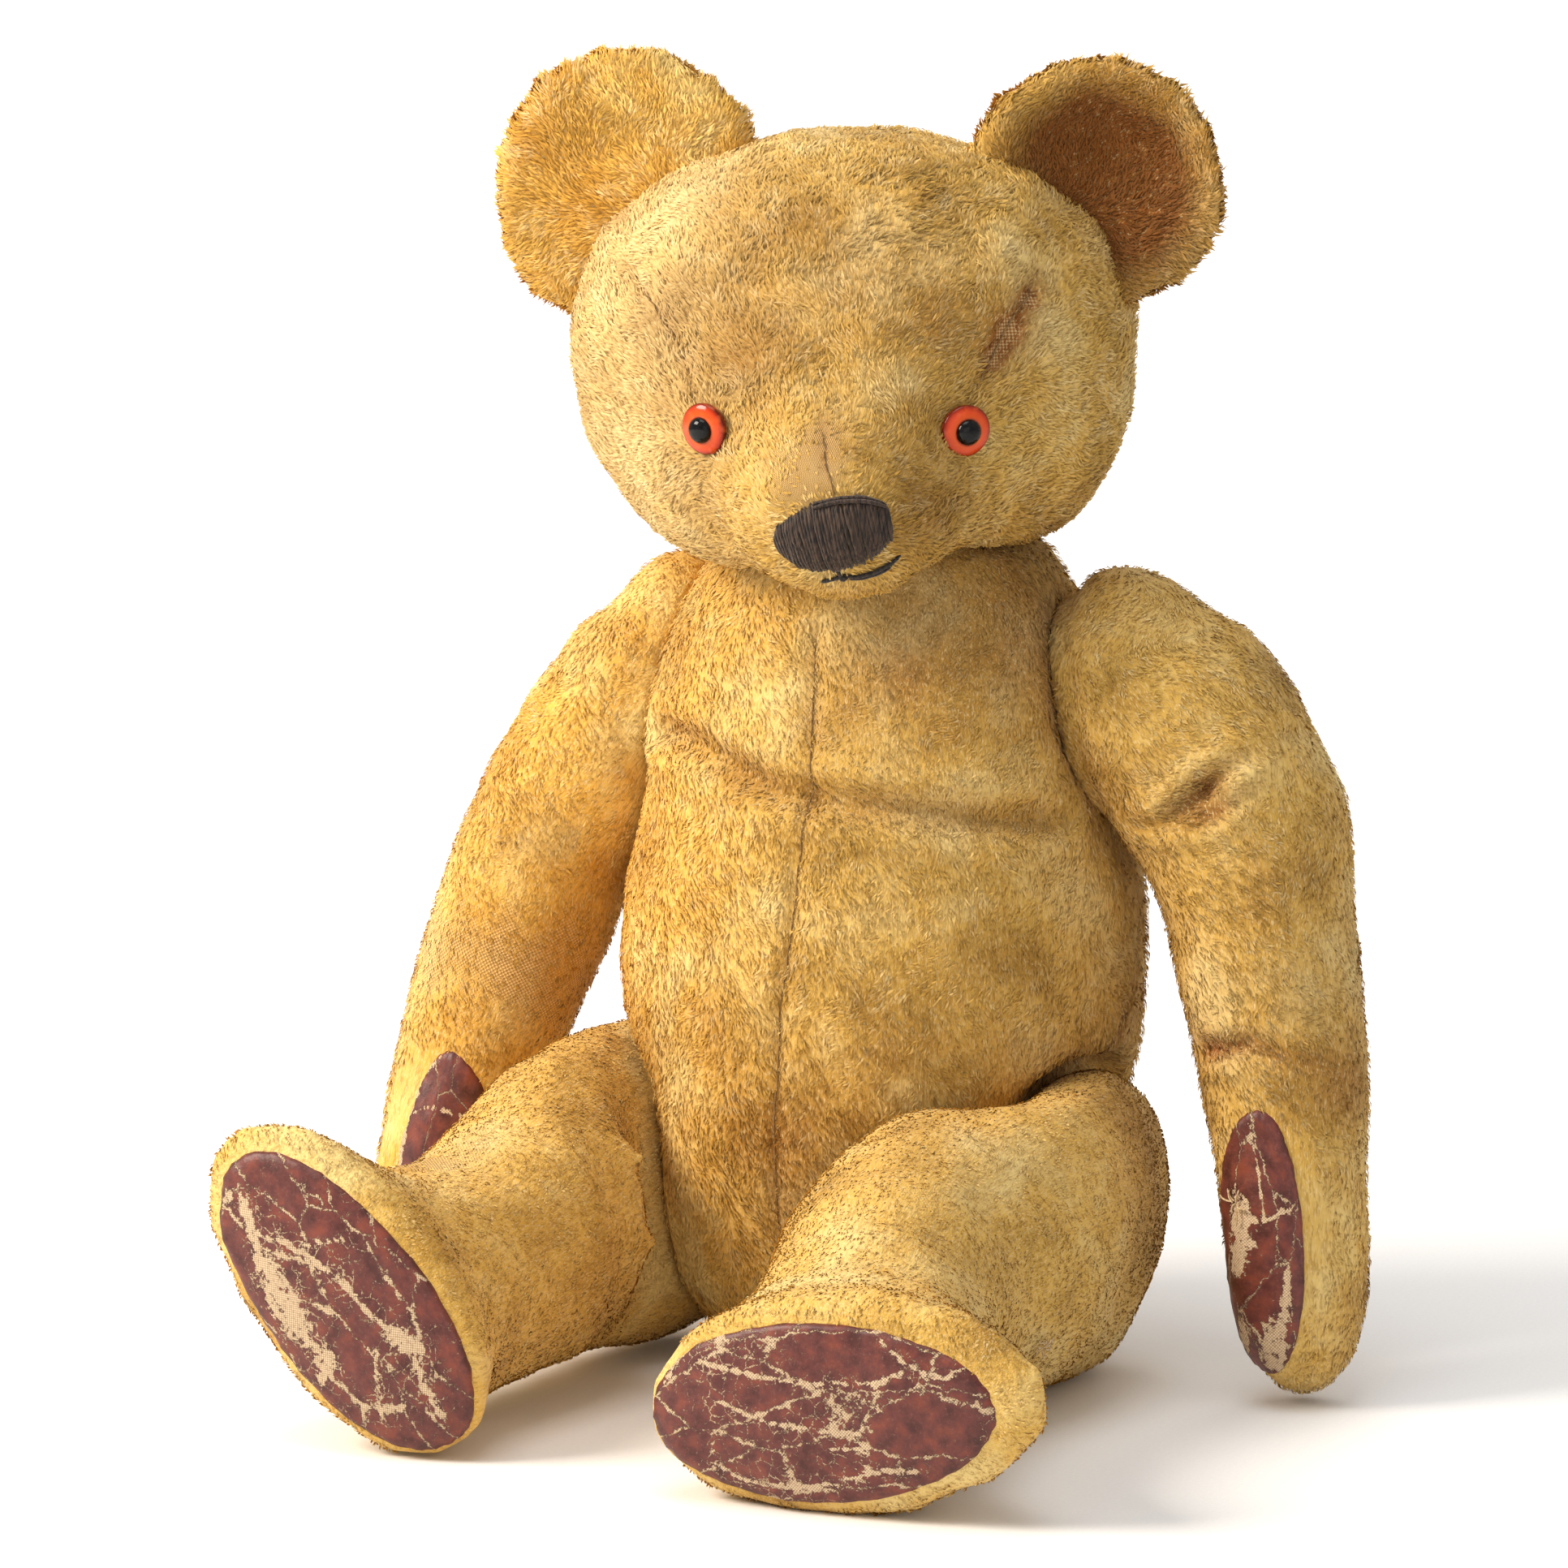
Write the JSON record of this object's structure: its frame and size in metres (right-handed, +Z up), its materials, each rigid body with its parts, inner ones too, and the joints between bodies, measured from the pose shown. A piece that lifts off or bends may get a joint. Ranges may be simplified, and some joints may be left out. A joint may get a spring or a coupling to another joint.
{
  "type": "threadbare teddy bear",
  "caption": "Sitting jointed teddy bear of worn golden plush, with cupped ears, glass eyes, stitched nose and cracked pads.",
  "frame": {"origin": "on the ground, at the middle of the flat under the seat", "axes": "+Z up, -Y the way the chest faces, +X towards the bear's own left"},
  "size_m": [0.3154, 0.2797, 0.3906],
  "materials": {
    "plush": "matted golden mohair pile, threadbare to its woven backing in places",
    "stuffing": "packed wood wool",
    "card": "pressed card",
    "steel": "dull plated steel",
    "pad_cloth": "maroon coated cloth, crazed and flaked to its cream cotton",
    "thread": "dark brown stranded thread",
    "amber_glass": "glossy orange glass",
    "black_glass": "glossy black glass"
  },
  "bodies": {
    "torso": {"torso_cover": "plush", "torso_stuffing": "stuffing", "neck_torso_disc": "card", "neck_torso_washer": "steel", "shoulder_left_torso_disc": "card", "shoulder_left_torso_washer": "steel", "shoulder_right_torso_disc": "card", "shoulder_right_torso_washer": "steel", "hip_left_torso_disc": "card", "hip_left_torso_washer": "steel", "hip_right_torso_disc": "card", "hip_right_torso_washer": "steel"},
    "head": {"head_cover": "plush", "head_stuffing": "stuffing", "nose_stitching": "thread", "mouth_stitching": "thread", "ear_left": "plush", "ear_right": "plush", "eye_left_iris": "amber_glass", "eye_left_pupil": "black_glass", "eye_left_lock_washer": "steel", "eye_right_iris": "amber_glass", "eye_right_pupil": "black_glass", "eye_right_lock_washer": "steel", "neck_outer_disc": "card", "neck_outer_washer": "steel", "neck_split_pin": "steel"},
    "arm_left": {"arm_left_cover": "plush", "arm_left_stuffing": "stuffing", "paw_left_pad": "pad_cloth", "shoulder_left_outer_disc": "card", "shoulder_left_outer_washer": "steel", "shoulder_left_split_pin": "steel"},
    "leg_left": {"leg_left_cover": "plush", "leg_left_stuffing": "stuffing", "foot_left_pad": "pad_cloth", "hip_left_outer_disc": "card", "hip_left_outer_washer": "steel", "hip_left_split_pin": "steel"},
    "arm_right": {"arm_right_cover": "plush", "arm_right_stuffing": "stuffing", "paw_right_pad": "pad_cloth", "shoulder_right_outer_disc": "card", "shoulder_right_outer_washer": "steel", "shoulder_right_split_pin": "steel"},
    "leg_right": {"leg_right_cover": "plush", "leg_right_stuffing": "stuffing", "foot_right_pad": "pad_cloth", "hip_right_outer_disc": "card", "hip_right_outer_washer": "steel", "hip_right_split_pin": "steel"}
  },
  "joints": [
    {"name": "neck", "type": "hinge", "parent": "torso", "child": "head", "pos_m": [0, -0.002, 0.248], "axis": [0, 0, 1], "range_deg": [-60, 30]},
    {"name": "shoulder_left", "type": "hinge", "parent": "torso", "child": "arm_left", "pos_m": [0.062, 0, 0.2], "axis": [-0.9781, 0, -0.2079], "range_deg": [-120, 100]},
    {"name": "shoulder_right", "type": "hinge", "parent": "torso", "child": "arm_right", "pos_m": [-0.062, 0, 0.2], "axis": [-0.9781, 0, 0.2079], "range_deg": [-120, 100]},
    {"name": "hip_left", "type": "hinge", "parent": "torso", "child": "leg_left", "pos_m": [0.051, -0.012, 0.047], "axis": [-0.9945, 0, 0.1045], "range_deg": [-80, 0]},
    {"name": "hip_right", "type": "hinge", "parent": "torso", "child": "leg_right", "pos_m": [-0.051, -0.012, 0.047], "axis": [-0.9945, 0, -0.1045], "range_deg": [-80, 0]}
  ]
}
